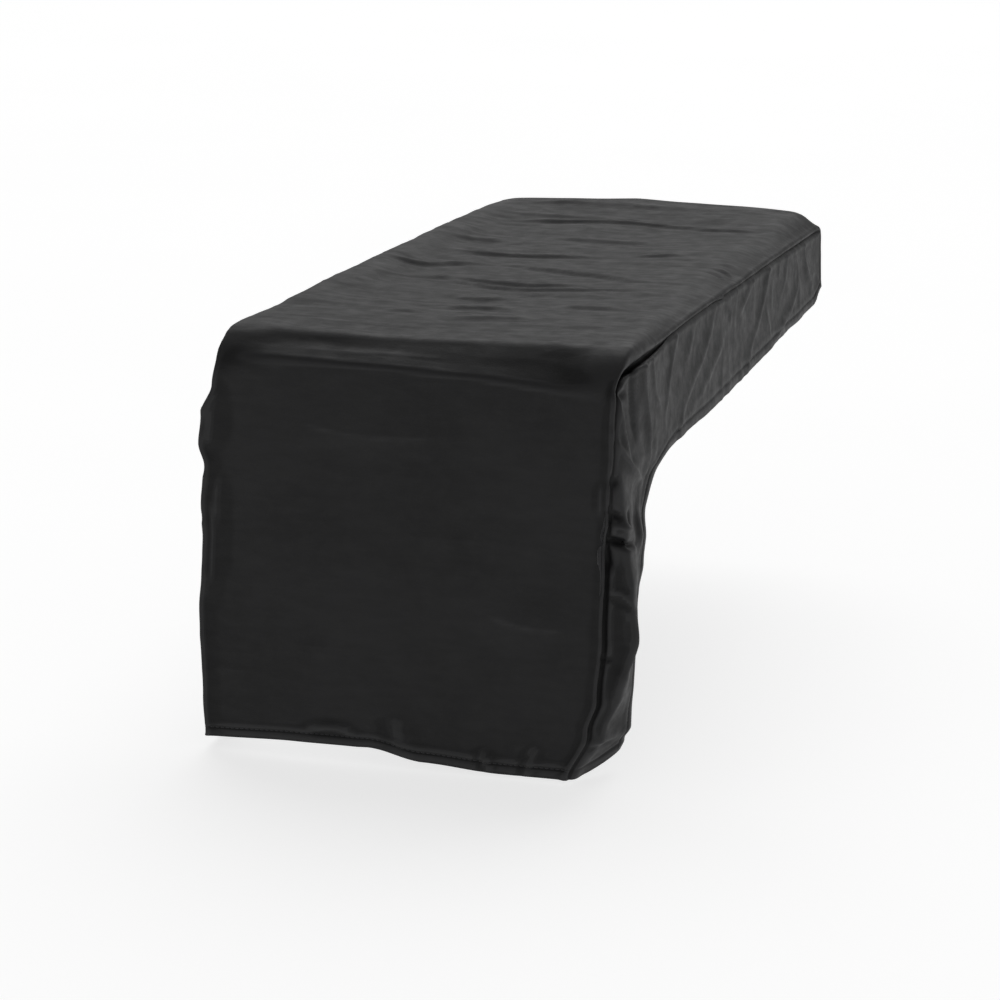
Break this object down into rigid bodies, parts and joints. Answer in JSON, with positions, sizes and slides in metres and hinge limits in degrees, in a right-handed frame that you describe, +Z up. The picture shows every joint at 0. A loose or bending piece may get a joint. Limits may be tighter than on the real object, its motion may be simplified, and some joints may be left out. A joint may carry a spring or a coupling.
{
  "type": "grill cover",
  "caption": "Fitted vinyl cover for a narrow built-in side burner: long front drop, short rear drop, and side panels cut away in arches.",
  "frame": {"origin": "centre of the underside of the top, where the cover rests on the burner's lid", "axes": "+X across the width to the right as seen from the front, +Y along the depth towards the rear face (the front drop faces -Y), +Z up"},
  "size_m": [0.3398, 0.716, 0.3286],
  "materials": {
    "vinyl": "satin vinyl coating on cloth, fine embossed grain",
    "backing_cloth": "matte woven backing",
    "tape": "matte woven tape",
    "thread": "bonded polyester thread"
  },
  "bodies": {
    "root": {"main_panel": "vinyl", "left_side_panel": "vinyl", "right_side_panel": "vinyl", "main_lining": "backing_cloth", "left_side_lining": "backing_cloth", "right_side_lining": "backing_cloth", "left_seam_tape": "tape", "right_seam_tape": "tape", "front_hem_facing": "vinyl", "rear_hem_facing": "vinyl", "left_arch_facing": "vinyl", "right_arch_facing": "vinyl", "left_seam_stitching": "thread", "right_seam_stitching": "thread", "front_hem_stitching": "thread", "rear_hem_stitching": "thread", "left_arch_stitching": "thread", "right_arch_stitching": "thread"}
  },
  "joints": []
}
